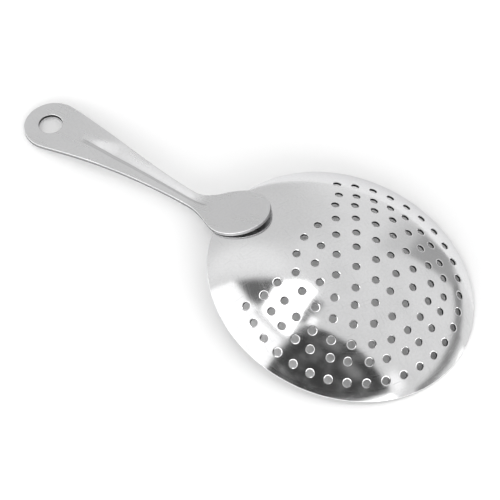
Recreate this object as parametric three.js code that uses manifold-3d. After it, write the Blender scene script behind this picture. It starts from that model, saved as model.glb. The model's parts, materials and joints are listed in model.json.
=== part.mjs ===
// Julep strainer: a dished, perforated oval bowl with a stamped strip handle spot-welded to its outer side.
// Millimetres, +Z up. It lies dome up, on the far point of the rim and the end of the handle, with the
// handle along +X. The origin is on the floor, under the middle of the strainer's bounding box.
//
// Bowl frame, in which the pieces are built: X = Y = 0 on the dome's axis, Z = 0 in the plane of the rim.
import * as THREE from 'three';
import { mergeVertices } from 'three/addons/utils/BufferGeometryUtils.js';
import Module from 'manifold-3d';

// Bowl: a spherical cap, drawn out along the handle and drawn in across it.
const capRadius = 69.5;
const rimRadius = 43.05;
const stretchAlong = 1.045;
const stretchAcross = 0.955;
const bowlSheet = 0.8;
const bowlSegments = 48;
const bowlRings = 5;

// Perforation: concentric rings of holes round a centre hole. A ring is a list of angular steps from the
// side opposite the handle, mirrored on both sides. The outer rings stop short and leave plain metal
// under the handle's pad.
const patternShift = -2.55;
const drainDiameter = 2.6;
const drainSides = 6;
const drainCutterLength = 4.8;
const drainRings = [
  { radius: 7.45, steps: repeat(3, [60]) },
  { radius: 13.2, steps: repeat(6, [30]) },
  { radius: 19.35, steps: repeat(9, [20]) },
  { radius: 25.35, steps: repeat(9, [15]) },
  { radius: 30.2, steps: [...repeat(4, [13.2, 10.8]), ...repeat(3, [11.2])] },
  { radius: 36, steps: [...repeat(6, [10.03]), ...repeat(7, [9.72])] },
];

// Handle: one strip, bent in side view. Its top face runs from the pad's tip through straights and bends.
const handleSheet = 1.25;
const padGap = 0.3;
const padAngle = 33.4;
const gripAngle = 4.3;
const endAngle = 14.6;
const padTipX = 30.8;
const neckBendStartX = 50.29;
const neckBendRadius = 17.9;
const neckBendSteps = 8;
const gripStraight = 18.64;
const archRadius = 158;
const archSteps = 6;
const endStraight = 14.9;

// Handle in plan: half widths and the places where its outline changes.
const padCentreX = 41.4;
const padHalfWidth = 9.8;
const padShoulder = 6;
const neckShoulder = 6.9;
const neckX = 57.3;
const neckHalfWidth = 2.89;
const taperEndX = 103.4;
const taperEndHalfWidth = 8.57;
const taperEndSlope = 0.19;
const endCentreX = 110.4;
const endHalfWidth = 9.67;
const hangHoleX = 111.4;
const hangHoleRadius = 3.95;
const hangHoleSides = 32;
const outlineDivisions = 10;

// Pressed groove along the middle of the handle's top face.
const grooveFromX = 52.2;
const grooveToX = 98.9;
const grooveDepth = 0.4;
const grooveHalfWidthNeck = 0.5;
const grooveHalfWidthEnd = 1.1;
const grooveEndDivisions = 6;

// Spot welds between the pad and the bowl.
const weldRadius = 2.4;
const weldHeight = 0.5;
const weldSpacing = 8.4;
const weldSides = 24;

// Corners closer than this are one corner, and a column this tall goes through everything.
const mergeDistance = 1e-4;
const columnHeight = 120;

// For a quarter of an ellipse, a Bezier control point stands this share of the half axis from its end.
const quarterControl = 0.552;

const wasm = await Module();
wasm.setup();

function repeat(times, steps) {
  return Array.from({ length: times }, () => steps).flat();
}

function radians(degrees) {
  return (degrees * Math.PI) / 180;
}

// A closed geometry as a manifold solid, and back.
function solid(geometry) {
  const bare = geometry.clone();
  bare.deleteAttribute('normal');
  bare.deleteAttribute('uv');
  const merged = mergeVertices(bare, mergeDistance);
  const vertProperties = new Float32Array(merged.attributes.position.array);
  const triVerts = new Uint32Array(merged.index.array);
  return new wasm.Manifold(new wasm.Mesh({ numProp: 3, vertProperties, triVerts }));
}

function geometryOf(body) {
  const { vertProperties, triVerts, numProp } = body.getMesh();
  const positions = new Float32Array((vertProperties.length / numProp) * 3);
  for (let i = 0; i < positions.length / 3; i += 1) {
    for (let axis = 0; axis < 3; axis += 1) {
      positions[3 * i + axis] = vertProperties[numProp * i + axis];
    }
  }
  const geometry = new THREE.BufferGeometry();
  geometry.setAttribute('position', new THREE.BufferAttribute(positions, 3));
  geometry.setIndex(new THREE.BufferAttribute(new Uint32Array(triVerts), 1));
  geometry.computeVertexNormals();
  return geometry;
}

// A cylinder of a given radius and length, centred at a point, along a direction.
function rod(radius, length, sides, centre, direction) {
  const geometry = new THREE.CylinderGeometry(radius, radius, length, sides);
  const turn = new THREE.Quaternion().setFromUnitVectors(new THREE.Vector3(0, 1, 0), direction);
  geometry.applyQuaternion(turn);
  geometry.translate(centre.x, centre.y, centre.z);
  return solid(geometry);
}

// The dome's outer surface. The cap's centre is below the rim plane, by what makes Z = 0 at the rim.
const capCentreZ = -Math.sqrt(capRadius ** 2 - rimRadius ** 2);

function domePoint(x, y) {
  const reach = Math.hypot(x / stretchAlong, y / stretchAcross);
  return new THREE.Vector3(x, y, capCentreZ + Math.sqrt(capRadius ** 2 - reach ** 2));
}

function domeNormal(point) {
  const across = point.y / stretchAcross ** 2;
  return new THREE.Vector3(point.x / stretchAlong ** 2, across, point.z - capCentreZ).normalize();
}

// An arc of the cap's section, from the axis out to an angle from it.
function capArc(radius, reach) {
  const arc = [];
  for (let i = 0; i <= bowlRings; i += 1) {
    const angle = (reach * i) / bowlRings;
    arc.push(new THREE.Vector2(radius * Math.sin(angle), capCentreZ + radius * Math.cos(angle)));
  }
  return arc;
}

// The plain shell: inner and outer arcs joined by a flat rim, turned round the axis and made oval.
function makeBowlShell() {
  const innerRadius = capRadius - bowlSheet;
  const inner = capArc(innerRadius, Math.acos(-capCentreZ / innerRadius));
  const outer = capArc(capRadius, Math.asin(rimRadius / capRadius));
  const shell = new THREE.LatheGeometry([...inner, ...outer.reverse()], bowlSegments);
  shell.rotateX(Math.PI / 2);
  shell.scale(stretchAlong, stretchAcross, 1);
  return solid(shell);
}

// Angles of a ring's holes from the handle's direction, in degrees.
function ringAngles(steps) {
  const angles = [180];
  let angle = 180;
  for (const step of steps) {
    angle -= step;
    angles.push(angle);
    if (angle > 1) angles.push(-angle);
  }
  return angles;
}

function drainCutter(x, y) {
  const point = domePoint(x, y);
  return rod(drainDiameter / 2, drainCutterLength, drainSides, point, domeNormal(point));
}

function makeBowl() {
  let bowl = makeBowlShell().subtract(drainCutter(patternShift, 0));
  for (const { radius, steps } of drainRings) {
    for (const angle of ringAngles(steps)) {
      const x = patternShift + radius * Math.cos(radians(angle));
      const y = radius * Math.sin(radians(angle));
      bowl = bowl.subtract(drainCutter(x, y));
    }
  }
  return bowl;
}

// The pad is flat and lies along a plane that touches the dome. This is where it touches.
function padContact() {
  const slope = Math.tan(radians(padAngle)) * stretchAlong;
  const x = (stretchAlong * capRadius * slope) / Math.hypot(1, slope);
  return domePoint(x, 0);
}

const contact = padContact();
const padNormal = new THREE.Vector3(Math.sin(radians(padAngle)), 0, Math.cos(radians(padAngle)));
const padTopAtContact = contact.clone().addScaledVector(padNormal, padGap + handleSheet);

// The handle's top face in side view: points with the downward angle of the face at each.
function topPath() {
  const tipZ = padTopAtContact.z + (padTopAtContact.x - padTipX) * Math.tan(radians(padAngle));
  const path = [{ x: padTipX, z: tipZ, angle: padAngle }];
  const straight = (length) => {
    const { x, z, angle } = path[path.length - 1];
    const down = radians(angle);
    path.push({ x: x + length * Math.cos(down), z: z - length * Math.sin(down), angle });
  };
  const bend = (radius, toAngle, count) => {
    const start = path[path.length - 1];
    const sign = Math.sign(start.angle - toAngle);
    for (let i = 1; i <= count; i += 1) {
      const angle = start.angle + ((toAngle - start.angle) * i) / count;
      const run = sign * radius * (Math.sin(radians(start.angle)) - Math.sin(radians(angle)));
      const drop = sign * radius * (Math.cos(radians(angle)) - Math.cos(radians(start.angle)));
      path.push({ x: start.x + run, z: start.z - drop, angle });
    }
  };
  straight((neckBendStartX - padTipX) / Math.cos(radians(padAngle)));
  bend(neckBendRadius, gripAngle, neckBendSteps);
  straight(gripStraight);
  bend(archRadius, endAngle, archSteps);
  straight(endStraight);
  return path;
}

const handlePath = topPath();
const handleTip = handlePath[handlePath.length - 1];

// The path moved along its normals, towards the dome's inside for a positive depth.
function offsetPath(depth) {
  return handlePath.map(({ x, z, angle }) => {
    const down = radians(angle);
    return new THREE.Vector2(x - depth * Math.sin(down), z - depth * Math.cos(down));
  });
}

// A band in side view between two depths under the top face, extruded across the handle.
function sideBand(fromDepth, toDepth, width) {
  const outline = [...offsetPath(fromDepth), ...offsetPath(toDepth).reverse()];
  const band = new THREE.ExtrudeGeometry(new THREE.Shape(outline), { depth: width, bevelEnabled: false });
  band.rotateX(Math.PI / 2);
  band.translate(0, width / 2, 0);
  return solid(band);
}

// A plan outline extruded up and down through everything.
function planColumn(shape, curveSegments) {
  const options = { depth: columnHeight, curveSegments, bevelEnabled: false };
  const column = new THREE.ExtrudeGeometry(shape, options);
  column.translate(0, 0, -columnHeight / 2);
  return solid(column);
}

// Half of the handle's outline in plan, from the pad's tip round to the hanging end, then its mirror image.
function handleOutline() {
  const padLength = padCentreX - padTipX;
  const endLength = handleTip.x - endCentreX;
  const taperControlX = taperEndX - (taperEndHalfWidth - neckHalfWidth) / taperEndSlope;
  const endControlX = taperEndX + (endHalfWidth - taperEndHalfWidth) / taperEndSlope;
  const half = new THREE.Path();
  half.moveTo(padTipX, 0);
  half.bezierCurveTo(
    padTipX, quarterControl * padHalfWidth,
    padCentreX - quarterControl * padLength, padHalfWidth,
    padCentreX, padHalfWidth,
  );
  half.bezierCurveTo(
    padCentreX + padShoulder, padHalfWidth,
    neckX - neckShoulder, neckHalfWidth,
    neckX, neckHalfWidth,
  );
  half.quadraticCurveTo(taperControlX, neckHalfWidth, taperEndX, taperEndHalfWidth);
  half.quadraticCurveTo(endControlX, endHalfWidth, endCentreX, endHalfWidth);
  half.bezierCurveTo(
    endCentreX + quarterControl * endLength, endHalfWidth,
    handleTip.x, quarterControl * endHalfWidth,
    handleTip.x, 0,
  );
  const points = half.getPoints(outlineDivisions);
  const mirrored = points.slice(1, -1).reverse().map(({ x, y }) => new THREE.Vector2(x, -y));
  return new THREE.Shape([...points, ...mirrored]);
}

// The groove in plan: a narrow and a wide round end, joined by their common tangents.
function grooveOutline() {
  const taper = (grooveHalfWidthEnd - grooveHalfWidthNeck) / (grooveToX - grooveFromX);
  const side = Math.PI / 2 + Math.atan(taper);
  const outline = new THREE.Shape();
  outline.absarc(grooveToX - grooveHalfWidthEnd, 0, grooveHalfWidthEnd, -side, side);
  outline.absarc(grooveFromX + grooveHalfWidthNeck, 0, grooveHalfWidthNeck, side, 2 * Math.PI - side);
  return outline;
}

// A point on the handle's middle line, a depth straight in from the top face at x, and the face's normal.
function pointOnHandle(x, depth) {
  const after = handlePath.findIndex((station) => station.x >= x);
  const from = handlePath[after - 1];
  const to = handlePath[after];
  const down = Math.atan2(from.z - to.z, to.x - from.x);
  const normal = new THREE.Vector3(Math.sin(down), 0, Math.cos(down));
  const z = from.z + ((to.z - from.z) * (x - from.x)) / (to.x - from.x);
  const point = new THREE.Vector3(x, 0, z).addScaledVector(normal, -depth);
  return { point, normal };
}

// The middles of the two spot welds, side by side on the pad's underside where it touches the dome.
function weldCentre(side) {
  const underside = contact.clone().addScaledVector(padNormal, padGap);
  return underside.addScaledVector(padNormal, weldHeight / 2).setY((side * weldSpacing) / 2);
}

// The pocket in the pad that leaves the gap round a weld and above it.
function weldPocket(side) {
  const mouth = weldCentre(side).addScaledVector(padNormal, -weldHeight / 2);
  return rod(weldRadius + padGap, 2 * (weldHeight + padGap), weldSides, mouth, padNormal);
}

function makeHandle() {
  const bandWidth = 4 * padHalfWidth;
  const strip = sideBand(0, handleSheet, bandWidth).intersect(planColumn(handleOutline(), 1));
  const grooveColumn = planColumn(grooveOutline(), grooveEndDivisions);
  const groove = sideBand(-handleSheet, grooveDepth, bandWidth).intersect(grooveColumn);
  const { point, normal } = pointOnHandle(hangHoleX, handleSheet / 2);
  const hangHole = rod(hangHoleRadius, 4 * handleSheet, hangHoleSides, point, normal);
  return strip.subtract(groove).subtract(hangHole).subtract(weldPocket(1)).subtract(weldPocket(-1));
}

function makeWeld(side) {
  return rod(weldRadius, weldHeight, weldSides, weldCentre(side), padNormal);
}

// Materials: polished bowl, satin handle, dull weld metal.
const bowlSteel = new THREE.MeshStandardMaterial({ color: 0xd2d3d4, roughness: 0.16, metalness: 1 });
const handleSteel = new THREE.MeshStandardMaterial({ color: 0xc6c7c8, roughness: 0.34, metalness: 1 });
const weldSteel = new THREE.MeshStandardMaterial({ color: 0x9b9c9e, roughness: 0.55, metalness: 1 });

function part(name, body, material) {
  const mesh = new THREE.Mesh(geometryOf(body), material);
  mesh.name = name;
  return mesh;
}

// The assembly in the bowl frame, tilted until the far rim and the handle's end are level.
const assembly = new THREE.Group();
assembly.add(part('bowl', makeBowl(), bowlSteel));
assembly.add(part('handle', makeHandle(), handleSteel));
assembly.add(part('weld_left', makeWeld(1), weldSteel.clone()));
assembly.add(part('weld_right', makeWeld(-1), weldSteel.clone()));

const underTip = pointOnHandle(handleTip.x, handleSheet).point;
const farRimX = -rimRadius * stretchAlong;
assembly.rotation.y = -Math.atan2(-underTip.z, underTip.x - farRimX);

const strainer = new THREE.Group();
strainer.add(assembly);
strainer.updateMatrixWorld(true);
const extent = new THREE.Box3().setFromObject(strainer, true);
assembly.position.set(-(extent.min.x + extent.max.x) / 2, 0, -extent.min.z);

export default strainer;
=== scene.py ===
import bpy
import json
import numpy as np
from math import acos, asin, atan2, cos, degrees, hypot, pi, radians, sin, sqrt, tan
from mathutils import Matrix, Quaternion, Vector
from mathutils.geometry import delaunay_2d_cdt


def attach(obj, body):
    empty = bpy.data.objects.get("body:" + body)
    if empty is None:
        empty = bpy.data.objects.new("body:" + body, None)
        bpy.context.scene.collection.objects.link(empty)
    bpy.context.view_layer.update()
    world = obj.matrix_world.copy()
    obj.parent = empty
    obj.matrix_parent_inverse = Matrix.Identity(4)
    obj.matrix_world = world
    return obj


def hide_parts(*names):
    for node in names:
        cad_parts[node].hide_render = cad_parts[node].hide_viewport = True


# Julep strainer: fine surfaces, steel finishes, floor, studio light and camera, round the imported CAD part.
# Shapes are worked out in millimetres in the bowl's own frame: X along the handle, Z out of the dome,
# Z = 0 in the plane of the rim. place_in_row() then puts them in the row frame, in metres.

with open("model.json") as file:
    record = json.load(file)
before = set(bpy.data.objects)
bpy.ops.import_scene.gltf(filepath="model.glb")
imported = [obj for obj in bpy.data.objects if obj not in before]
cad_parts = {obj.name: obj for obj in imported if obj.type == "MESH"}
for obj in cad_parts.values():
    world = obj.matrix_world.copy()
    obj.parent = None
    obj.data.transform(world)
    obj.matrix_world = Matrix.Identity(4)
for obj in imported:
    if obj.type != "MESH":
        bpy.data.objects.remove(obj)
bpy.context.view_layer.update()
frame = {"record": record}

MM = 0.001

# Bowl: a spherical cap, drawn out along the handle and drawn in across it.
CAP_RADIUS = 69.5
RIM_RADIUS = 43.05
STRETCH_ALONG = 1.045
STRETCH_ACROSS = 0.955
BOWL_SHEET = 0.8
RIM_ROUND = 0.16
RIM_INNER_ROUND = 0.4
RIM_SIDES = 288
RIM_STEPS = 10
RIM_INNER_STEPS = 5
RIM_INNER_EDGE_SHARE = 0.3
CAP_CENTRE_Z = -sqrt(CAP_RADIUS**2 - RIM_RADIUS**2)

# Perforation: rings of holes round a centre hole. A ring is a list of angular steps from the side
# opposite the handle, mirrored on both sides.
PATTERN_SHIFT = -2.55
DRAIN_RADIUS = 1.3
DRAIN_DISH = 0.31
DRAIN_DISH_SLOPE = radians(23)
DRAIN_ROUND = 0.05
DRAIN_INNER_ROUND = 0.08
DRAIN_COLLAR = 0.22
DRAIN_SIDES = 32
DRAIN_STEPS = 6
DRAIN_RINGS = [
    (7.45, [60] * 3),
    (13.2, [30] * 6),
    (19.35, [20] * 9),
    (25.35, [15] * 9),
    (30.2, [13.2, 10.8] * 4 + [11.2] * 3),
    (36.0, [10.03] * 6 + [9.72] * 7),
]

# The grid of places over the bowl: its step, and its gaps to the rim and to the holes, in steps.
BOWL_GRID = 1.2
RIM_CLEARANCE = 1.2
DRAIN_CLEARANCE = 0.4

# Handle: one strip, bent in side view. An X is the place of its top face, and half widths are in plan.
HANDLE_SHEET = 1.25
PAD_GAP = 0.06
PAD_SAG = 0.42
PAD_SAG_FADE_X = (46.0, 53.0)
PAD_ANGLE = radians(33.4)
GRIP_ANGLE = radians(4.3)
END_ANGLE = radians(14.6)
PAD_TIP_X = 30.8
NECK_BEND_START_X = 49.79
NECK_BEND_RADIUS = 17.9
GRIP_STRAIGHT = 19.14
ARCH_RADIUS = 158.0
END_STRAIGHT = 14.9
PAD_CENTRE_X = 41.4
PAD_HALF_WIDTH = 9.8
PAD_SHOULDER = 6.0
NECK_SHOULDER = 6.9
NECK_X = 57.3
NECK_HALF_WIDTH = 2.89
TAPER_END_X = 103.4
TAPER_END_HALF_WIDTH = 8.57
TAPER_END_SLOPE = 0.19
END_CENTRE_X = 110.4
END_HALF_WIDTH = 9.67
QUARTER_CONTROL = 0.552  # reach of a Bezier control point that makes a quarter circle of radius 1
HANG_HOLE_X = 111.4
HANG_HOLE_RADIUS = 3.95
HANG_HOLE_SIDES = 96
HANDLE_ROUND = 0.27
HANDLE_UNDER_ROUND = 0.15
HANDLE_COLLAR = 0.3
HANDLE_EDGE_STEPS = 6
OUTLINE_STEP = 0.45

# How rough the cut metal is and how much painted shade its wall gets, from 0 to 1, in the holes and round
# the handle. A high power keeps both to the upright part of a wall.
HOLE_SHEAR_AND_SHADE = 1.0
OUTLINE_SHEAR_AND_SHADE = 0.55
SHEARED_POWER = 8

# The grid of places over the handle: its start and step along, its places across, its step beyond the
# last of them, and its gap to the edges.
HANDLE_GRID_START = 0.4
HANDLE_GRID = 0.5
GRID_ACROSS = [0, 0.08, 0.17, 0.27, 0.38, 0.5, 0.64, 0.8, 1.0, 1.25, 1.6, 2.1, 2.7, 3.4, 4.2, 5.1]
GRID_ACROSS_STEP = 0.9
HANDLE_CLEARANCE = 0.25

# Pressed groove down the handle: a shallow, wide valley in the form of a V, with a narrow, steeper flank on
# the +Y side of its bottom line. The valley widens from its end by VALLEY_SPREAD per mm. On the -Y side the
# flank's depth runs out over the valley's reach, or over GROOVE_NOSE_REACH where that is more. The ridge
# under the handle has RIDGE_SHARE of the depth. A start is where a shape comes in, measured from the
# groove's start, and a stop is how far before the groove's end it begins to fade.
GROOVE_FROM_X = 51.8
GROOVE_TO_X = 99.6
GROOVE_DEPTH_NECK = 0.11
GROOVE_DEPTH_END = 0.17
GROOVE_WIDTH_NECK = 0.5
GROOVE_WIDTH_END = 1.2
GROOVE_NOSE_REACH = 2.4
GROOVE_START = (-1.5, 3.0)
GROOVE_STOP = 1.6
VALLEY_SLOPE = tan(radians(8.5))
VALLEY_SHOULDER = 0.3
VALLEY_SPREAD = 0.42
VALLEY_FADE_X = (50.0, 57.5)
VALLEY_STOP = 8.0
RIDGE_SHARE = 0.75

# Painted shade on the narrow flank, darkest in lines along its bottom and shoulder: where it starts and
# stops, the spread of its lines along the flank's bottom and shoulder, how strong the shoulder's line and
# the strip between are, and that strip's soft edge.
FLANK_START = (-0.8, 0.4)
FLANK_STOP = 2.0
FLANK_BOTTOM_SPREAD = 0.13
FLANK_SHOULDER_SPREAD = 0.16
FLANK_SHOULDER = 0.75
FLANK_BETWEEN = 0.55
FLANK_SOFT = 0.1

# Spot welds between the pad and the bowl: nuggets with a rippled rim, which reach into both. The bite is
# their depth in the pad.
WELD_RADIUS = 2.4
WELD_SPACING = 8.4
WELD_SIDES = 64
WELD_STEPS = 9
WELD_BITE = 0.02
WELD_THICKNESS = PAD_GAP + 0.16
WELD_RIPPLE = 0.05
WELD_RIPPLES = 7

# Round marks of the welding tips on the hollow side, and the rings of places round each.
WELD_MARK_RADIUS = 2.7
WELD_MARK_DEPTH = 0.07
WELD_MARK_RINGS = np.linspace(0.3, 1.3, 11) * WELD_MARK_RADIUS
WELD_MARK_SIDES = 40
WELD_MARK_CLEAR = 1.4 * WELD_MARK_RADIUS

# Camera: looks down on the domed side from +Y and a little from the bowl's end, slightly rolled. Its aim,
# distance and clipping are in metres, its lens and sensor in millimetres.
CAMERA_AIM = Vector((-0.00780, 0.00767, 0.008))
CAMERA_AZIMUTH = radians(204.385)
CAMERA_ELEVATION = radians(56.927)
CAMERA_ROLL = radians(8.708)
CAMERA_DISTANCE = 0.96485
CAMERA_LENS = 216.0
CAMERA_SENSOR = 36.0
CAMERA_CLIP = (0.01, 50)


# ---- Placement in the row frame -------------------------------------------------------------------

# The rim_face mount faces straight down out of the rim, beside the bowl's axis.
rim_mount = next(m for m in frame["record"]["mounts"] if m["name"] == "rim_face")
bowl_up = -Vector(rim_mount["axis"]).normalized()
bowl_along = Vector((0, 1, 0)).cross(bowl_up)
BOWL_AXES = np.array([bowl_along, (0, 1, 0), bowl_up])
BOWL_ORIGIN = np.array([rim_mount["pos_m"][0], 0.0, rim_mount["pos_m"][2]])


def place_in_row(points):
    """Points of the bowl's frame, in mm, as points of the row frame, in metres."""
    return points @ BOWL_AXES * MM + BOWL_ORIGIN


# ---- Building skins with exact normals -------------------------------------------------------------


def unit(vectors):
    """The vectors, made one long."""
    return vectors / np.linalg.norm(vectors, axis=1, keepdims=True)


def sheet_normals(place, u, v, step=0.01):
    """Normals of a curved sheet, from small steps along it both ways."""
    along_u = place(u + step, v, 0) - place(u - step, v, 0)
    along_v = place(u, v + step, 0) - place(u, v - step, 0)
    return unit(np.cross(along_u, along_v))


class Skin:
    """A surface: its vertices, faces, exact normals and places in the sheet. edges says how much of an
    edge each vertex is, and punched_and_shade how rough its cut metal is and how much painted shade it gets."""

    def __init__(self):
        self.points, self.normals, self.places = [], [], []
        self.edges, self.punched_and_shade = [], []
        self.faces = []

    def add(self, points, normals, edge, places, punched_and_shade=0.0):
        """Adds vertices and gives their numbers."""
        first = len(self.points)
        self.points.extend(points)
        self.normals.extend(normals)
        self.edges.extend([edge] * len(points))
        self.punched_and_shade.extend([punched_and_shade] * len(points))
        self.places.extend(places)
        return np.arange(first, first + len(points))

    def bridge(self, upper, lower):
        """Faces between two loops of the same length. Anticlockwise loops face outwards."""
        for i in range(len(upper)):
            self.faces.append((upper[i - 1], lower[i - 1], lower[i], upper[i]))

    def fill(self, surface, outline, openings, inner, facing):
        """Covers the sheet between an outline and its openings. A loop is (vertex numbers, places)."""
        loops = [outline, *openings]
        new_places = np.array(inner)
        u, v = new_places[:, 0], new_places[:, 1]
        normals = facing * sheet_normals(lambda a, b, _: surface(a, b), u, v)
        extra = self.add(surface(u, v), normals, 0.0, new_places)
        numbers = np.concatenate([loop[0] for loop in loops] + [extra])
        places = np.concatenate([loop[1] for loop in loops] + [new_places])
        owners = [np.full(len(loop[0]), k) for k, loop in enumerate(loops)]
        owner = np.concatenate([*owners, np.full(len(extra), -1)])
        walls, first = [], 0
        for loop in loops:
            count = len(loop[0])
            walls += [(first + i, first + (i + 1) % count) for i in range(count)]
            first += count
        made = delaunay_2d_cdt([Vector(p) for p in places], walls, [], 0, 1e-6)
        origin = [group[0] for group in made[3]]
        corners = np.array([[origin[i] for i in face] for face in made[2]])
        same = (owner[corners] == owner[corners[:, :1]]).all(axis=1) & (owner[corners[:, 0]] > 0)
        inside = within(places[corners].mean(axis=1), outline[1])
        for a, b, c in corners[~same & inside]:
            (ax, ay), (bx, by), (cx, cy) = places[a], places[b], places[c]
            anticlockwise = (bx - ax) * (cy - ay) - (by - ay) * (cx - ax) > 0
            ordered = (a, b, c) if anticlockwise == (facing > 0) else (a, c, b)
            self.faces.append(tuple(numbers[list(ordered)]))

    def make(self, name, material, nodes):
        """The finished piece, in the row frame, in place of its CAD nodes."""
        mesh = bpy.data.meshes.new(name)
        points = place_in_row(np.array(self.points))
        mesh.from_pydata(points.tolist(), [], [tuple(map(int, face)) for face in self.faces])
        mesh.polygons.foreach_set("use_smooth", np.ones(len(mesh.polygons), bool))
        turned = np.array(self.normals) @ BOWL_AXES
        mesh.normals_split_custom_set_from_vertices(turned.tolist())
        for attribute, values in (("edge", self.edges), ("punched_and_shade", self.punched_and_shade)):
            made = mesh.attributes.new(attribute, "FLOAT", "POINT")
            made.data.foreach_set("value", np.array(values, np.float32))
        places = np.column_stack([np.array(self.places), np.zeros(len(self.places))])
        place = mesh.attributes.new("sheet_place", "FLOAT_VECTOR", "POINT")
        place.data.foreach_set("vector", places.astype(np.float32).ravel())
        mesh.materials.append(material)
        piece = bpy.data.objects.new(name, mesh)
        bpy.context.scene.collection.objects.link(piece)
        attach(piece, "root")
        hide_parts(*nodes)
        return piece


def within(points, outline):
    """Which points are inside a closed outline, by counting crossings."""
    inside = np.zeros(len(points), bool)
    for (ax, ay), (bx, by) in zip(outline, np.roll(outline, -1, axis=0)):
        if ay != by:
            crosses = (points[:, 1] < ay) != (points[:, 1] < by)
            inside ^= crosses & (points[:, 0] < ax + (points[:, 1] - ay) * (bx - ax) / (by - ay))
    return inside


def edge_profile(sheet, top_round, under_round, steps=5):
    """A rounded edge from the top face to the lower one: rows of (inset from the wall, depth, angle of the
    normal from straight up)."""
    rows = []
    for i in range(steps + 1):
        angle = pi / 2 * i / steps
        rows.append((top_round * (1 - sin(angle)), top_round * (1 - cos(angle)), angle))
    for i in range(steps + 1):
        angle = pi / 2 * (1 + i / steps)
        rows.append((under_round * (1 - sin(angle)), sheet - under_round * (1 + cos(angle)), angle))
    return rows


def drain_profile():
    """A drain hole's edge: the punch first draws the metal gently in, then shears it."""
    bend = DRAIN_DISH / sin(DRAIN_DISH_SLOPE)
    sharp = edge_profile(BOWL_SHEET, DRAIN_ROUND, DRAIN_INNER_ROUND, 3)
    sharp_from = DRAIN_ROUND * (1 - sin(DRAIN_DISH_SLOPE))
    sunk = bend * (1 - cos(DRAIN_DISH_SLOPE)) - DRAIN_ROUND * (1 - cos(DRAIN_DISH_SLOPE))
    rows = []
    for angle in np.linspace(0, DRAIN_DISH_SLOPE, DRAIN_STEPS):
        rows.append((sharp_from + DRAIN_DISH - bend * sin(angle), bend * (1 - cos(angle)), angle))
    for inset, depth, angle in sharp:
        if angle > DRAIN_DISH_SLOPE:
            rows.append((inset, depth + sunk if angle <= pi / 2 else depth, angle))
    return rows


def trim(skin, place, ring_at, profile, collar, shear_and_shade):
    """A rounded edge. ring_at(inset) gives a loop's places in the sheet and its outward directions.
    shear_and_shade says how rough the cut metal of its wall is and how much painted shade it gets, from 0 to
    1."""
    top_inset, under_inset = profile[0][0] + collar, profile[-1][0] + collar
    rows = [(top_inset, 0.0, 0.0), *profile, (under_inset, profile[-1][1], pi)]
    loops = []
    for inset, depth, angle in rows:
        places, outward = ring_at(inset)
        u, v = places[:, 0], places[:, 1]
        normals = unit(cos(angle) * sheet_normals(place, u, v) + sin(angle) * outward)
        # Rough cut metal and painted shade, kept to the upright part of the wall.
        wall = shear_and_shade * sin(angle) ** SHEARED_POWER
        loops.append((skin.add(place(u, v, depth), normals, sin(angle), places, wall), places))
    for upper, lower in zip(loops, loops[1:]):
        skin.bridge(upper[0], lower[0])
    return loops[0], loops[-1]


# ---- Bowl -----------------------------------------------------------------------------------------


def in_shell(x, y, depth):
    """Points of the bowl's sheet over places in plan, a depth under the outer side."""
    reach = np.column_stack([x / STRETCH_ALONG, y / STRETCH_ACROSS])
    rise = np.sqrt(CAP_RADIUS**2 - (reach**2).sum(axis=1))
    share = (CAP_RADIUS - depth) / CAP_RADIUS
    columns = [STRETCH_ALONG * reach[:, 0] * share, STRETCH_ACROSS * reach[:, 1] * share]
    return np.column_stack([*columns, CAP_CENTRE_Z + rise * share])


def even_turns(count, shift=0.0):
    """Angles in even steps right round, shifted by a share of a step."""
    return 2 * pi * (np.arange(count) + shift) / count


def oval(reach, turns):
    """Places round the bowl's oval, at a reach before it is stretched."""
    return np.column_stack([STRETCH_ALONG * reach * np.cos(turns), STRETCH_ACROSS * reach * np.sin(turns)])


def pad_contact():
    """Where the pad's plane touches the dome, and the plane's normal."""
    slope = tan(PAD_ANGLE) * STRETCH_ALONG
    x = STRETCH_ALONG * CAP_RADIUS * slope / hypot(1, slope)
    point = in_shell(np.array([x]), np.array([0.0]), 0)[0]
    return point, np.array([sin(PAD_ANGLE), 0.0, cos(PAD_ANGLE)])


def drain_places():
    """The middles of the drain holes, in plan."""
    places = [(PATTERN_SHIFT, 0.0)]
    for radius, steps in DRAIN_RINGS:
        turned = np.concatenate([[0.0], np.cumsum(steps)])
        angles = [180 - a for a in turned] + [a - 180 for a in turned[1:] if a < 179]
        places += [(PATTERN_SHIFT + radius * cos(radians(a)), radius * sin(radians(a))) for a in angles]
    return places


def drain_ring(x, y):
    """The places of a round hole's loops, clockwise, in the plane that touches the dome there."""
    centre = in_shell(np.array([x]), np.array([y]), 0)[0]
    normal = sheet_normals(in_shell, np.array([x]), np.array([y]))[0]
    across = np.cross(normal, (1.0, 0.0, 0.0))
    across /= np.linalg.norm(across)
    along = np.cross(across, normal)
    turns = -even_turns(DRAIN_SIDES)
    radial = np.outer(np.cos(turns), along) + np.outer(np.sin(turns), across)

    def ring_at(inset):
        return (centre + (DRAIN_RADIUS + inset) * radial)[:, :2], -radial

    return ring_at


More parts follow.
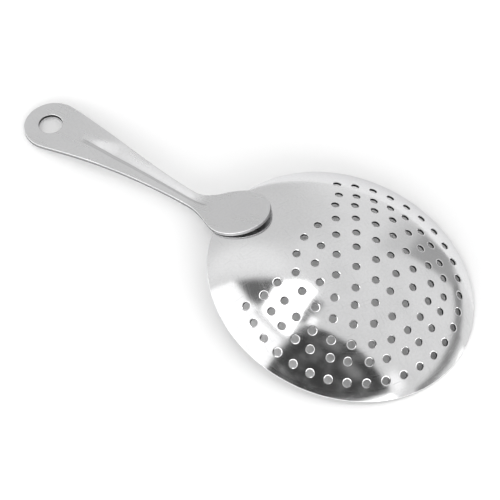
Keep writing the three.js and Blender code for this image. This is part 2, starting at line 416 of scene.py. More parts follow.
def rim_edge(skin):
    """The rim: the outer side, a small round, a flat foot in the plane Z = 0, and the inner side.
    Gives the loops that the outer and inner sheets start from."""
    outer_turn = asin(RIM_RADIUS / CAP_RADIUS)
    inner_radius = CAP_RADIUS - BOWL_SHEET
    inner_turn = acos(-CAP_CENTRE_Z / inner_radius)
    outer_centre = RIM_RADIUS - RIM_ROUND / tan(outer_turn / 2)
    inner_centre = inner_radius * sin(inner_turn) + RIM_INNER_ROUND * tan(inner_turn / 2)
    rows = []
    for angle in np.linspace(outer_turn, pi, RIM_STEPS):
        rows.append((outer_centre + RIM_ROUND * sin(angle), RIM_ROUND * (1 + cos(angle)), angle))
    for angle in np.linspace(pi, pi + inner_turn, RIM_INNER_STEPS):
        height = RIM_INNER_ROUND * (1 + cos(angle))
        rows.append((inner_centre + RIM_INNER_ROUND * sin(angle), height, angle))
    turns = even_turns(RIM_SIDES)
    loops = []
    for reach, height, angle in rows:
        ring = oval(reach, turns)
        tilt = [sin(angle) * np.cos(turns) / STRETCH_ALONG, sin(angle) * np.sin(turns) / STRETCH_ACROSS]
        normals = unit(np.column_stack([*tilt, np.full(RIM_SIDES, cos(angle))]))
        points = np.column_stack([ring, np.full(RIM_SIDES, height)])
        wear_and_shade = sin(angle) if angle < pi else RIM_INNER_EDGE_SHARE
        loops.append(skin.add(points, normals, wear_and_shade if angle > outer_turn else 0.0, ring))
    for upper, lower in zip(loops, loops[1:]):
        skin.bridge(upper, lower)
    places = np.array(skin.places)
    inner_places = places[loops[-1]] * (CAP_RADIUS / inner_radius)
    return (loops[0], places[loops[0]]), (loops[-1], inner_places)


def bowl_grid(limit, drains, clearance):
    """Places in rings over the bowl, clear of the holes. Every second ring is turned by half a step."""
    rings = [np.zeros((1, 2))]
    for reach in np.arange(BOWL_GRID, limit, BOWL_GRID):
        count = round(2 * pi * reach / BOWL_GRID)
        rings.append(oval(reach, even_turns(count, 0.5 * (round(reach / BOWL_GRID) % 2))))
    places = np.concatenate(rings)
    gaps = np.linalg.norm(places[:, None] - np.array(drains)[None], axis=2).min(axis=1)
    return places[gaps > clearance]


def weld_place(side):
    """The middle of a spot weld on the pad's underside."""
    contact, normal = pad_contact()
    return contact + PAD_GAP * normal + np.array([0.0, side * WELD_SPACING / 2, 0.0])


def make_bowl(material):
    skin = Skin()
    drains = drain_places()
    profile = drain_profile()
    rings = [trim(skin, in_shell, drain_ring(x, y), profile, DRAIN_COLLAR, HOLE_SHEAR_AND_SHADE) for x, y in drains]
    rim_top, rim_under = rim_edge(skin)
    limit = RIM_RADIUS - RIM_CLEARANCE * BOWL_GRID
    clearance = DRAIN_RADIUS + DRAIN_DISH + DRAIN_COLLAR + DRAIN_CLEARANCE * BOWL_GRID
    grid = bowl_grid(limit, drains, clearance)
    skin.fill(lambda x, y: in_shell(x, y, 0), rim_top, [ring[0] for ring in rings], grid, 1)
    marks = [weld_place(side)[:2] for side in (1, -1)]

    def inner_side(x, y):
        """The hollow side, with the shallow round marks that the welding tips leave."""
        depth = np.full(len(x), BOWL_SHEET)
        for mark_x, mark_y in marks:
            near = np.clip(np.hypot(x - mark_x, y - mark_y) / WELD_MARK_RADIUS, 0, 1)
            depth = depth - WELD_MARK_DEPTH * (1 - near**6) ** 2
        return in_shell(x, y, depth)

    from_axis = np.hypot(grid[:, 0] / STRETCH_ALONG, grid[:, 1] / STRETCH_ACROSS)
    inner_grid = grid[from_axis < limit - BOWL_GRID]
    turns = even_turns(WELD_MARK_SIDES)
    circle = np.column_stack([np.cos(turns), np.sin(turns)])
    for mark in marks:
        clear = inner_grid[np.linalg.norm(inner_grid - mark, axis=1) >= WELD_MARK_CLEAR]
        inner_grid = np.concatenate([clear, *(mark + reach * circle for reach in WELD_MARK_RINGS)])
    skin.fill(inner_side, rim_under, [ring[1] for ring in rings], inner_grid, -1)
    piece = skin.make("bowl_shell", material, ["bowl"])
    # Marks the hollow side, which is rougher and gets painted shade.
    hollow = piece.data.attributes.new("hollow", "FLOAT", "POINT")
    hollow.data.foreach_set("value", (np.array(skin.normals)[:, 2] < 0).astype(np.float32))
    return piece


# ---- Handle ---------------------------------------------------------------------------------------


def side_segments():
    """The handle's top face in side view: straights and bends as (start, x, z, angle, turn per mm), and
    its whole length."""
    contact, normal = pad_contact()
    on_pad = contact + (PAD_GAP + HANDLE_SHEET) * normal
    tip_z = on_pad[2] + (on_pad[0] - PAD_TIP_X) * tan(PAD_ANGLE)
    parts = [
        ((NECK_BEND_START_X - PAD_TIP_X) / cos(PAD_ANGLE), 0.0),
        ((PAD_ANGLE - GRIP_ANGLE) * NECK_BEND_RADIUS, -1 / NECK_BEND_RADIUS),
        (GRIP_STRAIGHT, 0.0),
        ((END_ANGLE - GRIP_ANGLE) * ARCH_RADIUS, 1 / ARCH_RADIUS),
        (END_STRAIGHT, 0.0),
    ]
    start, x, z, angle, rows = 0.0, PAD_TIP_X, tip_z, PAD_ANGLE, []
    for length, turn in parts:
        rows.append((start, x, z, angle, turn))
        x, z, angle = (float(value) for value in along_segment(rows[-1], start + length))
        start += length
    return rows, start


def along_segment(row, s):
    """x, z and downward angle at a distance along the top face, on one straight or bend."""
    start, x, z, angle, turn = row
    run = s - start
    if turn == 0.0:
        return x + run * cos(angle), z - run * sin(angle), angle + 0 * run
    now = angle + turn * run
    return x + (np.sin(now) - sin(angle)) / turn, z + (np.cos(now) - cos(angle)) / turn, now


SEGMENTS, HANDLE_LENGTH = side_segments()


def side_view(s):
    """x, z and downward angle of the top face at distances along it from the pad's tip."""
    s = np.asarray(s, float)
    found = np.column_stack(along_segment(SEGMENTS[0], s))
    for row in SEGMENTS[1:]:
        found = np.where((s >= row[0])[:, None], np.column_stack(along_segment(row, s)), found)
    return found[:, 0], found[:, 1], found[:, 2]


SAMPLES = np.linspace(0.0, HANDLE_LENGTH, 4000)
SAMPLES_X = side_view(SAMPLES)[0]


def run_at(x):
    """Distance along the handle at which its top face is at x."""
    return np.interp(x, SAMPLES_X, SAMPLES)


def bezier(points, count=60):
    """Points of a Bezier curve, without its last one."""
    t = np.linspace(0, 1, count, endpoint=False)[:, None]
    points = [np.array(p, float) for p in points]
    while len(points) > 1:
        points = [a * (1 - t) + b * t for a, b in zip(points, points[1:])]
    return points[0]


def handle_outline():
    """The outline, anticlockwise, as even steps of (distance along the strip, across it)."""
    tip_x = float(SAMPLES_X[-1])
    pad, end = PAD_CENTRE_X - PAD_TIP_X, tip_x - END_CENTRE_X
    taper_x = TAPER_END_X - (TAPER_END_HALF_WIDTH - NECK_HALF_WIDTH) / TAPER_END_SLOPE
    bulge_x = TAPER_END_X + (END_HALF_WIDTH - TAPER_END_HALF_WIDTH) / TAPER_END_SLOPE
    w, n, e, q = PAD_HALF_WIDTH, NECK_HALF_WIDTH, END_HALF_WIDTH, QUARTER_CONTROL
    tip, flank, neck = (PAD_TIP_X, 0), (PAD_CENTRE_X, w), (NECK_X, n)
    taper, widest, far = (TAPER_END_X, TAPER_END_HALF_WIDTH), (END_CENTRE_X, e), (tip_x, 0)
    half = np.concatenate([
        bezier([tip, (PAD_TIP_X, q * w), (PAD_CENTRE_X - q * pad, w), flank]),
        bezier([flank, (PAD_CENTRE_X + PAD_SHOULDER, w), (NECK_X - NECK_SHOULDER, n), neck]),
        bezier([neck, (taper_x, n), taper]),
        bezier([taper, (bulge_x, e), widest]),
        bezier([widest, (END_CENTRE_X + q * end, e), (tip_x, q * e), far]),
        [far],
    ])
    half = np.column_stack([run_at(half[:, 0]), half[:, 1]])
    loop = np.concatenate([half * (1, -1), half[-2:0:-1]])
    closed = np.vstack([loop, loop[:1]])
    travelled = np.concatenate([[0], np.cumsum(np.linalg.norm(np.diff(closed, axis=0), axis=1))])
    even = np.linspace(0, travelled[-1], round(travelled[-1] / OUTLINE_STEP), endpoint=False)
    return np.column_stack([np.interp(even, travelled, closed[:, k]) for k in (0, 1)])


OUTLINE = handle_outline()


def half_width(s):
    """The outline's half width at distances along the strip."""
    upper = OUTLINE[OUTLINE[:, 1] >= 0]
    upper = upper[np.argsort(upper[:, 0])]
    return np.interp(s, upper[:, 0], upper[:, 1])


def ease(low, high, value):
    """0 up to low and 1 from high on, with a smooth step between."""
    t = np.clip((value - low) / (high - low), 0, 1)
    return t * t * (3 - 2 * t)


def soft_ramp(share, corner=0.06, shoulder=0.06):
    """1 at 0 falling evenly to 0 at 1, with the corner at 0 and the shoulder at 1 rounded."""
    fall = 1 - np.sqrt(share**2 + corner**2) + corner
    return 0.5 * (fall + np.sqrt(fall**2 + shoulder**2)) - 0.25 * shoulder**2


def groove_width(s):
    """How far along the groove a place is, from 0 to 1, and the narrow flank's width there."""
    start, end = run_at(GROOVE_FROM_X), run_at(GROOVE_TO_X)
    along = np.clip((s - start) / (end - start), 0, 1)
    return along, GROOVE_WIDTH_NECK + (GROOVE_WIDTH_END - GROOVE_WIDTH_NECK) * along


def valley_reach(s):
    """How far the valley spreads to each side: from a point near the end to the whole width."""
    spread = VALLEY_SPREAD * np.clip(run_at(GROOVE_TO_X) - s, 0, None)
    return np.maximum(np.minimum(half_width(s) - HANDLE_ROUND, spread), 1e-6)


def groove_painted_shade(s, y):
    """How much painted shade a place on the narrow flank has: most along its bottom line and along its
    shoulder, some between them, and none elsewhere."""
    width = groove_width(s)[1]
    start, end = run_at(GROOVE_FROM_X), run_at(GROOVE_TO_X)
    there = ease(start + FLANK_START[0], start + FLANK_START[1], s) * (1 - ease(end - FLANK_STOP, end, s))
    bottom = np.exp(-((y / FLANK_BOTTOM_SPREAD) ** 2))
    shoulder = FLANK_SHOULDER * np.exp(-(((y - width) / FLANK_SHOULDER_SPREAD) ** 2))
    inside = ease(-FLANK_SOFT, FLANK_SOFT, y) * (1 - ease(-FLANK_SOFT, FLANK_SOFT, y - width))
    return there * np.clip(bottom + shoulder + FLANK_BETWEEN * inside, 0, 1)


def pressed(s, y):
    """How far the stamping pushes the strip in, at a place along and across it."""
    along, width = groove_width(s)
    start, end = run_at(GROOVE_FROM_X), run_at(GROOVE_TO_X)
    narrow = GROOVE_DEPTH_NECK + (GROOVE_DEPTH_END - GROOVE_DEPTH_NECK) * along
    narrow = narrow * ease(start + GROOVE_START[0], start + GROOVE_START[1], s)
    narrow = narrow * (1 - ease(end - GROOVE_STOP, end, s))
    reach = valley_reach(s)
    valley = VALLEY_SLOPE * reach * soft_ramp(np.abs(y) / reach, shoulder=VALLEY_SHOULDER)
    valley = valley * ease(run_at(VALLEY_FADE_X[0]), run_at(VALLEY_FADE_X[1]), s)
    valley = valley * (1 - ease(end - VALLEY_STOP, end, s))
    side = np.where(y > 0, width, np.maximum(reach, GROOVE_NOSE_REACH))
    return valley + narrow * np.clip(soft_ramp(np.abs(y) / side), 0, None)


def pad_sag(s, y):
    """The pad's sides are bent down a little, after the dome under it."""
    fade = ease(run_at(PAD_SAG_FADE_X[0]), run_at(PAD_SAG_FADE_X[1]), s)
    return PAD_SAG * (y / PAD_HALF_WIDTH) ** 2 * (1 - fade)


def in_strip(s, y, depth):
    """Points of the handle's strip, a depth under its top face."""
    x, z, angle = side_view(s)
    share = 1 - (1 - RIDGE_SHARE) * depth / HANDLE_SHEET
    down = depth + share * pressed(s, y) + pad_sag(s, y)
    return np.column_stack([x - down * np.sin(angle), y, z - down * np.cos(angle)])


def strip_directions(s, flat):
    """Directions in the strip's plane as directions in space."""
    angle = side_view(s)[2]
    return np.column_stack([flat[:, 0] * np.cos(angle), flat[:, 1], -flat[:, 0] * np.sin(angle)])


def outline_ring(inset):
    """The outline's loop, anticlockwise, at an inset from the handle's wall."""
    ahead = np.roll(OUTLINE, -1, axis=0) - np.roll(OUTLINE, 1, axis=0)
    outward = unit(np.column_stack([ahead[:, 1], -ahead[:, 0]]))
    return OUTLINE - inset * outward, strip_directions(OUTLINE[:, 0], outward)


def hang_ring(inset):
    """The hanging hole's loop, clockwise, at an inset from its wall."""
    turns = -even_turns(HANG_HOLE_SIDES)
    radial = np.column_stack([np.cos(turns), np.sin(turns)])
    places = (float(run_at(HANG_HOLE_X)), 0.0) + (HANG_HOLE_RADIUS + inset) * radial
    return places, strip_directions(places[:, 0], -radial)


def handle_grid():
    """Places along and across the strip, close together over the groove."""
    places = []
    beyond = np.arange(GRID_ACROSS[-1] + GRID_ACROSS_STEP, PAD_HALF_WIDTH, GRID_ACROSS_STEP)
    across = np.concatenate([GRID_ACROSS, beyond])
    margin = HANDLE_ROUND + HANDLE_COLLAR + HANDLE_CLEARANCE
    for s in np.arange(HANDLE_GRID_START, HANDLE_LENGTH, HANDLE_GRID):
        for y in across[across < float(half_width(s)) - margin]:
            places += [(s, y), (s, -y)] if y else [(s, 0.0)]
    places = np.array(places)
    inside = within(places, outline_ring(margin)[0])
    gap = np.linalg.norm(places - (float(run_at(HANG_HOLE_X)), 0.0), axis=1)
    return places[inside & (gap > HANG_HOLE_RADIUS + margin)]


def make_handle(material):
    skin = Skin()
    profile = edge_profile(HANDLE_SHEET, HANDLE_ROUND, HANDLE_UNDER_ROUND, HANDLE_EDGE_STEPS)
    outer_top, outer_under = trim(skin, in_strip, outline_ring, profile, HANDLE_COLLAR, OUTLINE_SHEAR_AND_SHADE)
    hang_top, hang_under = trim(skin, in_strip, hang_ring, profile, HANDLE_COLLAR, HOLE_SHEAR_AND_SHADE)
    grid = handle_grid()
    skin.fill(lambda s, y: in_strip(s, y, 0), outer_top, [hang_top], grid, 1)
    skin.fill(lambda s, y: in_strip(s, y, HANDLE_SHEET), outer_under, [hang_under], grid, -1)
    piece = skin.make("handle_strip", material, ["handle"])
    places = np.array(skin.places)
    # The narrow flank's share of painted shade, which the handle's material reads.
    groove = piece.data.attributes.new("groove", "FLOAT", "POINT")
    groove.data.foreach_set("value", groove_painted_shade(places[:, 0], places[:, 1]).astype(np.float32))
    return piece


# ---- Spot welds -----------------------------------------------------------------------------------


def make_weld(side, name, node, material):
    """A nugget of weld metal squeezed between the pad and the dome, bulging at its rim."""
    skin = Skin()
    normal = pad_contact()[1]
    middle = weld_place(side)
    along = np.array([cos(PAD_ANGLE), 0.0, -sin(PAD_ANGLE)])
    turns = even_turns(WELD_SIDES)
    radial = np.outer(np.cos(turns), along) + np.outer(np.sin(turns), (0.0, 1.0, 0.0))
    loops = []
    for angle in np.linspace(0, pi, WELD_STEPS):
        reach = WELD_RADIUS - WELD_THICKNESS / 2 * (1 - sin(angle))
        sink = WELD_THICKNESS / 2 * (1 - cos(angle)) - WELD_BITE
        ripple = WELD_RIPPLE * sin(angle) * np.sin(WELD_RIPPLES * turns + side)
        points = middle + (reach + ripple)[:, None] * radial - sink * normal
        normals = unit(sin(angle) * radial + cos(angle) * normal)
        places = np.column_stack([reach * np.cos(turns), reach * np.sin(turns)])
        loops.append(skin.add(points, normals, sin(angle), places))
    for upper, lower in zip(loops, loops[1:]):
        skin.bridge(upper, lower)
    for loop, facing, sink in ((loops[0], 1, -WELD_BITE), (loops[-1], -1, WELD_THICKNESS - WELD_BITE)):
        hub = skin.add([middle - sink * normal], [facing * normal], 0.0, [(0.0, 0.0)])[0]
        for i in range(WELD_SIDES):
            pair = (loop[i - 1], loop[i]) if facing > 0 else (loop[i], loop[i - 1])
            skin.faces.append((hub, *pair))
    return skin.make(name, material, [node])


# ---- Materials ------------------------------------------------------------------------------------


class Nodes:
    """A short way to write a node tree. A value is a number or another node's socket."""

    def __init__(self, tree):
        self.tree = tree
        tree.nodes.clear()

    def add(self, kind, inputs=None, **settings):
        """A new node, with values for its inputs and for its own settings."""
        node = self.tree.nodes.new(kind)
        for key, value in settings.items():
            setattr(node, key, value)
        for key, value in (inputs or {}).items():
            if isinstance(value, bpy.types.NodeSocket):
                self.tree.links.new(value, node.inputs[key])
            else:
                node.inputs[key].default_value = value
        return node

    def read(self, attribute, output="Fac"):
        """A value that the mesh holds for each vertex."""
        return self.add("ShaderNodeAttribute", attribute_name=attribute).outputs[output]

    def math(self, operation, a, b=0.0):
        return self.add("ShaderNodeMath", {0: a, 1: b}, operation=operation).outputs[0]

    def times(self, a, b):
        return self.math("MULTIPLY", a, b)

    def remap(self, value, low, high, to_low, to_high, smooth=True):
        """Carries the range from low to high over to another one, and stops at its ends."""
        kind = "SMOOTHSTEP" if smooth else "LINEAR"
        inputs = {"Value": value, "From Min": low, "From Max": high, "To Min": to_low, "To Max": to_high}
        return self.add("ShaderNodeMapRange", inputs, interpolation_type=kind).outputs["Result"]

    def mix(self, share, a, b):
        return self.add("ShaderNodeMix", {"Factor": share, "A": a, "B": b}, data_type="FLOAT").outputs[0]

    def noise(self, where, scale, detail, roughness=0.5, stretch=(1, 1, 1)):
        """Noise in space. stretch multiplies the place along each axis first."""
        spread = self.add("ShaderNodeVectorMath", {0: where, 1: stretch}, operation="MULTIPLY").outputs[0]
        inputs = {"Vector": spread, "Scale": scale, "Detail": detail, "Roughness": roughness}
        return self.add("ShaderNodeTexNoise", inputs).outputs["Fac"]

    def noise_line(self, value, scale, detail):
        """Noise along one direction, from a distance along it."""
        inputs = {"W": value, "Scale": scale, "Detail": detail}
        return self.add("ShaderNodeTexNoise", inputs, noise_dimensions="1D").outputs["Fac"]


# What the steel finishes share. Scales are per mm and heights in mm; shades and shares are from 0 to 1.
# Clouds and grain change the roughness, specks the shade. Steel reflects a little less than a plain metal
# where it is seen at a grazing angle.
MOST_NOISE = (0.3, 0.7)  # the range that most of a noise's values are in
CLOUD_SCALE = 0.09
CLOUD_SHARE = 0.6
GRAIN_SHARE = 0.4
SPECK_SCALE = 1.2
SPECK_CONTRAST = 0.012
EDGE_EVENNESS = 0.5
# How far rounded edges go to their shade of wear and painted shade.
EDGE_WEAR_AND_SHADE = 0.8
# Painted shade: the cut walls' near-black colour. Their roughness below is real.
SHEARED_WALL_PAINTED_SHADE = 0.05
SHEARED_ROUGHNESS = 0.42
BLUE_SHARE = 1.006
GRAZING_TINT = (0.6, 0.6, 0.61, 1)

# Scratches: their directions, lanes per mm across them, steps of their pattern per mm along them, how far
# apart two lanes can be in that pattern, their line's width in its lane, and where the pattern shows them.
SCRATCH_TURNS = (0.5, 2.1)
SCRATCH_LANES = 0.9
SCRATCH_STEPS = 0.16
SCRATCH_SPREAD = 1000.0
SCRATCH_WIDTH = (0.04, 0.2)
SCRATCH_SHOWN = (0.68, 0.78)
SCRATCH_ROUGHNESS = 0.04
SCRATCH_SHARE = 0.25
SCRATCH_SHADE = 0.85
SCRATCH_DEPTH = 0.0002

# Grain: polishing lines per mm out from the bowl's middle, and brushed lines along and across the handle.
ROUND_GRAIN_SCALE = 2.5
LONG_GRAIN_STRETCH = (0.03, 1.6, 1)

# The hollow side and the groove's narrow flank get painted shade, a plain grey mixed into their colour: that
# grey, the most of it that is mixed in, and from what share of painted shade on the flank its grey starts.
# The hollow side is also rougher.
HOLLOW_PAINTED_SHADE_GREY = 0.4
HOLLOW_PAINTED_SHADE_SHARE = 0.7
HOLLOW_ROUGHNESS = 0.3
GROOVE_PAINTED_SHADE_GREY = 0.42
GROOVE_PAINTED_SHADE_SHARE = 0.6
GROOVE_SHOWN = 0.05
GREY_BLUE_SHARE = 1.01


def steel(name, grain, base, wear_and_shade, roughness, wave_scale, wave_height, grain_height):
    """Stainless steel with reflections of the shade base, or wear_and_shade along its rounded edges: wear,
    and where that is darker than base, painted shade. grain(nodes, place) gives the finish's fine lines,
    from 0 to 1."""
    material = bpy.data.materials.new(name)
    material.use_nodes = True
    nodes = Nodes(material.node_tree)
    place = nodes.read("sheet_place", "Vector")
    edge = nodes.read("edge")
    punched_and_shade = nodes.read("punched_and_shade")
    lines = grain(nodes, place)
    cloud = nodes.noise(place, CLOUD_SCALE, 4.0)
    specks = nodes.noise(place, SPECK_SCALE, 1.0)
    scratches = fine_scratches(nodes, place)

    low, high = roughness
    uneven = nodes.math("ADD", nodes.times(cloud, CLOUD_SHARE), nodes.times(lines, GRAIN_SHARE))
    rough = nodes.remap(uneven, *MOST_NOISE, low, high)
    rough = nodes.math("ADD", rough, nodes.times(scratches, SCRATCH_ROUGHNESS))
    rough = nodes.mix(nodes.times(edge, EDGE_EVENNESS), rough, 0.5 * (low + high))
    rough = nodes.mix(punched_and_shade, rough, SHEARED_ROUGHNESS)

    shade = nodes.remap(specks, *MOST_NOISE, base - SPECK_CONTRAST, base + SPECK_CONTRAST)
    # Rounded edges take the shade wear_and_shade: wear, and painted shade where it is darker than base.
    shade = nodes.mix(nodes.times(edge, EDGE_WEAR_AND_SHADE), shade, wear_and_shade)
    shade = nodes.mix(nodes.times(scratches, SCRATCH_SHARE), shade, base * SCRATCH_SHADE)
    # Painted shade: the cut walls are made nearly black.
    shade = nodes.mix(punched_and_shade, shade, SHEARED_WALL_PAINTED_SHADE)
    colour = nodes.add("ShaderNodeCombineColor", {
        "Red": shade, "Green": shade, "Blue": nodes.times(shade, BLUE_SHARE),
    })

    waves = nodes.times(nodes.noise(place, wave_scale, 2.0, 0.4), wave_height)
    height = nodes.math("ADD", waves, nodes.times(lines, grain_height))
    height = nodes.math("SUBTRACT", height, nodes.times(scratches, SCRATCH_DEPTH))
    bump = nodes.add("ShaderNodeBump", {"Height": height, "Strength": 1.0, "Distance": MM})
    shader = nodes.add("ShaderNodeBsdfPrincipled", {
        "Metallic": 1.0, "Specular Tint": GRAZING_TINT, "Base Color": colour.outputs["Color"],
        "Roughness": rough, "Normal": bump.outputs["Normal"],
    })
    nodes.add("ShaderNodeOutputMaterial", {"Surface": shader.outputs["BSDF"]})
    return material, nodes, shader


def fine_scratches(nodes, place):
    """Sparse hairline scratches in two directions. Each lies in a lane and starts anywhere along it."""
    found = None
    for turn in SCRATCH_TURNS:
        inputs = {"Vector": place, "Angle": turn}
        turned = nodes.add("ShaderNodeVectorRotate", inputs, rotation_type="Z_AXIS").outputs["Vector"]
        parts = nodes.add("ShaderNodeSeparateXYZ", {"Vector": turned}).outputs
        across = nodes.times(parts["Y"], SCRATCH_LANES)
        lane = nodes.math("FLOOR", across)
        chance = nodes.add("ShaderNodeTexWhiteNoise", {"W": lane}, noise_dimensions="1D").outputs["Value"]
        start = nodes.times(chance, SCRATCH_SPREAD)
        along = nodes.math("ADD", nodes.times(parts["X"], SCRATCH_STEPS), start)
        run = nodes.noise_line(along, 1.0, 0.0)
        middle = nodes.math("ABSOLUTE", nodes.math("SUBTRACT", nodes.math("FRACT", across), 0.5))
        line = nodes.remap(middle, *SCRATCH_WIDTH, 1.0, 0.0)
        some = nodes.times(line, nodes.remap(run, *SCRATCH_SHOWN, 0.0, 1.0))
        found = some if found is None else nodes.math("MAXIMUM", found, some)
    return found


def round_grain(nodes, place):
    """Faint polishing lines that run round the bowl."""
    reach = nodes.add("ShaderNodeVectorMath", {0: place}, operation="LENGTH").outputs["Value"]
    return nodes.noise_line(reach, ROUND_GRAIN_SCALE, 1.0)


def long_grain(nodes, place):
    """Brushed lines along the handle."""
    return nodes.noise(place, 1.0, 1.0, stretch=LONG_GRAIN_STRETCH)


def paint_shade(nodes, shader, share, grey):
    """Turns a share of the base colour into a plain grey: painted shade."""
    before = shader.inputs["Base Color"].links[0].from_socket
    plain = (grey, grey, GREY_BLUE_SHARE * grey, 1)
    tinted = nodes.add("ShaderNodeMix", {"Factor": share, "A": before, "B": plain}, data_type="RGBA")
    nodes.tree.links.new(tinted.outputs["Result"], shader.inputs["Base Color"])


def make_bowl_steel():
    material, nodes, shader = steel(
        "bowl_polished_steel", round_grain, base=0.80, wear_and_shade=0.86, roughness=(0.075, 0.13),
        wave_scale=0.10, wave_height=0.03, grain_height=0.0008,
    )
    hollow = nodes.read("hollow")
    before = shader.inputs["Roughness"].links[0].from_socket
    nodes.tree.links.new(nodes.mix(hollow, before, HOLLOW_ROUGHNESS), shader.inputs["Roughness"])
    # Painted shade: the hollow side under the dome is mixed towards a plain grey.
    paint_shade(nodes, shader, nodes.times(hollow, HOLLOW_PAINTED_SHADE_SHARE), HOLLOW_PAINTED_SHADE_GREY)
    return material


def make_handle_steel():
    # Painted shade: the handle's rounded edges are darker than its face, which dims their reflections.
    material, nodes, shader = steel(
        "handle_satin_steel", long_grain, base=0.70, wear_and_shade=0.62, roughness=(0.25, 0.36),
        wave_scale=0.14, wave_height=0.008, grain_height=0.006,
    )
    # Painted shade: the groove's narrow flank is mixed towards a plain grey.
    share = nodes.remap(nodes.read("groove"), GROOVE_SHOWN, 1.0, 0.0, GROOVE_PAINTED_SHADE_SHARE, smooth=False)
    paint_shade(nodes, shader, share, GROOVE_PAINTED_SHADE_GREY)
    return material


def make_weld_steel():
    return steel(
        "weld_metal", long_grain, base=0.55, wear_and_shade=0.6, roughness=(0.5, 0.62),
        wave_scale=0.9, wave_height=0.03, grain_height=0.002,
    )[0]


# ---- Studio ---------------------------------------------------------------------------------------


# The floor is pale paper that glows a little, which keeps the shadows light. Half its side and its drop
# under the object are in metres, and its paper's grain is per metre.
FLOOR_REACH = 8.0
FLOOR_DROP = 0.00005
PAPER_SCALE = 900.0
PAPER_NOISE = (0.2, 0.8)
PAPER_SHADE = (0.96, 0.97)
PAPER_ROUGHNESS = 0.85
PAPER_GLOSS = 0.2
FLOOR_GLOW = 0.04


def make_floor():
    signs = [(-1, -1), (1, -1), (1, 1), (-1, 1)]
    mesh = bpy.data.meshes.new("floor")
    mesh.from_pydata([(x * FLOOR_REACH, y * FLOOR_REACH, -FLOOR_DROP) for x, y in signs], [], [(0, 1, 2, 3)])
    material = bpy.data.materials.new("pale_floor")
    material.use_nodes = True
    nodes = Nodes(material.node_tree)
    where = nodes.add("ShaderNodeTexCoord").outputs["Object"]
    shade = nodes.remap(nodes.noise(where, PAPER_SCALE, 2.0), *PAPER_NOISE, *PAPER_SHADE)
    colour = nodes.add("ShaderNodeCombineColor", {"Red": shade, "Green": shade, "Blue": shade})
    shader = nodes.add("ShaderNodeBsdfPrincipled", {
        "Base Color": colour.outputs["Color"], "Roughness": PAPER_ROUGHNESS,
        "Specular IOR Level": PAPER_GLOSS, "Emission Color": (1, 1, 1, 1), "Emission Strength": FLOOR_GLOW,
    })
    nodes.add("ShaderNodeOutputMaterial", {"Surface": shader.outputs["BSDF"]})
    mesh.materials.append(material)
    floor = bpy.data.objects.new("floor", mesh)
    bpy.context.scene.collection.objects.link(floor)


def toward(azimuth, elevation):
    """A direction. Azimuth 0 is +Y and 90 is +X, in degrees."""
    a, e = radians(azimuth), radians(elevation)
    return Vector((sin(a) * cos(e), cos(a) * cos(e), sin(e)))


def overhead(x, y):
    """A direction x degrees from straight up towards +X and y degrees towards +Y."""
    return toward(degrees(atan2(x, y)), 90 - hypot(x, y))


def panel(left, right, low, high):
    """The corners of a card between two azimuths and two elevations."""
    return [toward(left, high), toward(left, low), toward(right, low), toward(right, high)]


def over(*corners):
    """The corners of a card, each in degrees from straight up towards +X and +Y."""
    return [overhead(x, y) for x, y in corners]


# The studio: a white tent with an opening at the front, a bright soft box in two panels, a low one beside
# it, low lights at both sides and some darker gaps. The tent's cloth is a little uneven, and it takes over
# from the horizon's light up to an elevation whose sine is HORIZON_FADE. A card is (corner directions in
# order, softness in degrees, brightness).
TENT = 0.81
TENT_CLOTH = 0.04
TENT_CLOTH_SCALE = 2.6
HORIZON = 0.92
HORIZON_FADE = 0.3
CARDS = {
    "side_wall": (panel(98, 150, -5, 46), 9.0, 0.72),
    "box_spill": (over((22, -2), (46, 8), (62, 14), (64, -8), (44, -20), (24, -14)), 8.0, 0.95),
    "front_spill": (over((-57, 14), (-46, 12), (-47, 4), (-57, 5)), 3.0, 1.2),
    "centre_gap": (over((-0.5, 0), (8, 0), (8, 19), (1.8, 14.5)), 1.5, 0.2),
    "centre_glint": (over((-2.4, 10), (2.2, 10), (2.2, 15.5), (-2.4, 15.5)), 1.2, 1.4),
    "box_outer": (over((8.5, 27), (10, 50)) + [toward(12, 12), toward(68, 12)]
                  + over((57, 16.5), (46.5, 8), (44.5, 8.4)), 1.0, 1.3),
    "box_low": (panel(4, 48, -6, 24), 3.0, 3.4),
    "side_light_left": (panel(-126, -42, -6, 11), 3.0, 4.0),
    "side_light_right": (panel(50, 84, -6, 17), 3.0, 3.0),
    "box_inner": (over((6.6, -4), (6.1, 14), (5.8, 25.5), (10, 27.5), (20, 25), (25.5, 18.5), (27, 9.5),
                       (23.5, 1), (17, -4.6), (12, -5.6)), 0.9, 3.2),
    "box_seam": (over((6.5, 31.5), (28.8, 22.4), (27.4, 18.8), (6, 28)), 0.9, 0.78),
    "box_gap": (over((25.4, 18.4), (32.5, 18.2), (45, 8.2), (24, -1)), 2.2, 0.14),
    "low_gap_side": ([toward(-88, 27.7), toward(-88, 23.3), toward(-132, 13.4), toward(-132, 18.2)],
                     1.3, 0.26),
    "low_gap_back": ([toward(-130, 19.2), toward(-130, 14.6), toward(-160, 3.4), toward(-160, 8.2)],
                     1.3, 0.27),
    "back_fade": (over((-13, -60), (-2, -46), (4, -88), (-10, -88)), 5.0, 0.66),
    "back_shade": (over((-36, -71), (-12, -60), (-6, -87), (-24, -88)), 2.4, 0.42),
    "front_opening": (over((-58, 16), (-30, 10), (-8, 12.8), (1.5, 16.5), (9.3, 26), (10, 48))
                      + [toward(12, -8), toward(-74, -8)], 1.3, 0.05),
    "wisp_left": (over((-36, 20), (-24, 18.5), (-23, 25), (-34, 26.5)), 3.0, 0.25),
    "wisp_right": (over((-20, 14.5), (-10, 16), (-9, 21), (-19, 20)), 2.4, 0.22),
}

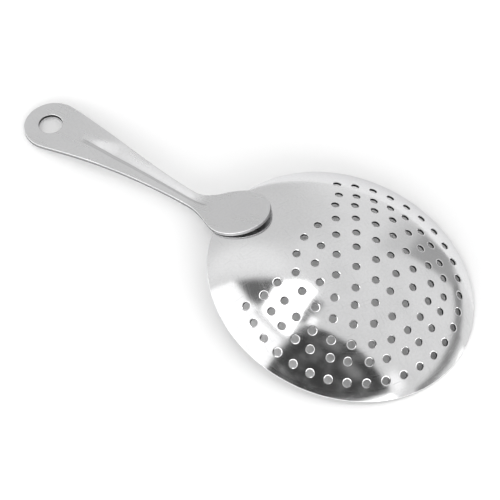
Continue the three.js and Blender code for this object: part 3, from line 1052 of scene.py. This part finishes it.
# The front opening is dark with faint wisps, over a bright sill that ends between two elevations.
WISP_SCALE = 5.0
WISP_STRETCH = (1, 1, 2)
WISP_SHOWN = (0.46, 0.72)
WISP_LIGHT = 0.26
SILL_TOP = (30, 37)
SILL_LIGHT = 3.2


def card_share(nodes, where, corners, softness):
    """1 inside a card and 0 outside it, with soft edges: the product of a step for each of its sides."""
    middle = sum(corners, Vector())
    soft = sin(radians(softness))
    share = None
    for corner, following in zip(corners, corners[1:] + corners[:1]):
        inward = corner.cross(following).normalized()
        if inward.dot(middle) < 0:
            inward.negate()
        side = nodes.add("ShaderNodeVectorMath", {0: where, 1: inward}, operation="DOT_PRODUCT")
        inside = nodes.remap(side.outputs["Value"], -soft, soft, 0.0, 1.0)
        share = inside if share is None else nodes.times(share, inside)
    return share


def opening_light(nodes, where, height, brightness):
    """The light in the front opening: its sill's at the foot, and wisps over the dark above that."""
    wisps = nodes.noise(where, WISP_SCALE, 4.0, 0.6, WISP_STRETCH)
    inside = nodes.remap(wisps, *WISP_SHOWN, brightness, WISP_LIGHT)
    low, high = (sin(radians(elevation)) for elevation in SILL_TOP)
    return nodes.mix(nodes.remap(height, low, high, 0.0, 1.0), SILL_LIGHT, inside)


def make_studio():
    world = bpy.data.worlds.new("studio")
    bpy.context.scene.world = world
    world.use_nodes = True
    nodes = Nodes(world.node_tree)
    where = nodes.add("ShaderNodeTexCoord").outputs["Generated"]
    cloth = nodes.noise(where, TENT_CLOTH_SCALE, 3.0)
    height = nodes.add("ShaderNodeSeparateXYZ", {"Vector": where}).outputs["Z"]
    light = nodes.remap(cloth, *MOST_NOISE, TENT - TENT_CLOTH, TENT + TENT_CLOTH)
    light = nodes.mix(nodes.remap(height, 0.0, HORIZON_FADE, 0.0, 1.0), HORIZON, light)
    for name, (corners, softness, brightness) in CARDS.items():
        share = card_share(nodes, where, corners, softness)
        if name == "front_opening":
            brightness = opening_light(nodes, where, height, brightness)
        light = nodes.mix(share, light, brightness)
    background = nodes.add("ShaderNodeBackground", {"Color": light})
    nodes.add("ShaderNodeOutputWorld", {"Surface": background.outputs["Background"]})


def make_camera():
    data = bpy.data.cameras.new("camera")
    data.lens, data.sensor_width = CAMERA_LENS, CAMERA_SENSOR
    data.clip_start, data.clip_end = CAMERA_CLIP
    camera = bpy.data.objects.new("camera", data)
    bpy.context.scene.collection.objects.link(camera)
    level = cos(CAMERA_ELEVATION)
    back = Vector((sin(CAMERA_AZIMUTH) * level, -cos(CAMERA_AZIMUTH) * level, sin(CAMERA_ELEVATION)))
    camera.location = CAMERA_AIM + CAMERA_DISTANCE * back
    camera.rotation_mode = "QUATERNION"
    camera.rotation_quaternion = (-back).to_track_quat("-Z", "Y") @ Quaternion((0, 0, 1), CAMERA_ROLL)
    bpy.context.scene.camera = camera


make_camera()
make_studio()
make_floor()
make_bowl(make_bowl_steel())
make_handle(make_handle_steel())
weld_steel = make_weld_steel()
make_weld(1, "weld_nugget_left", "weld_left", weld_steel)
make_weld(-1, "weld_nugget_right", "weld_right", weld_steel)

bpy.context.scene.view_settings.view_transform = "Standard"
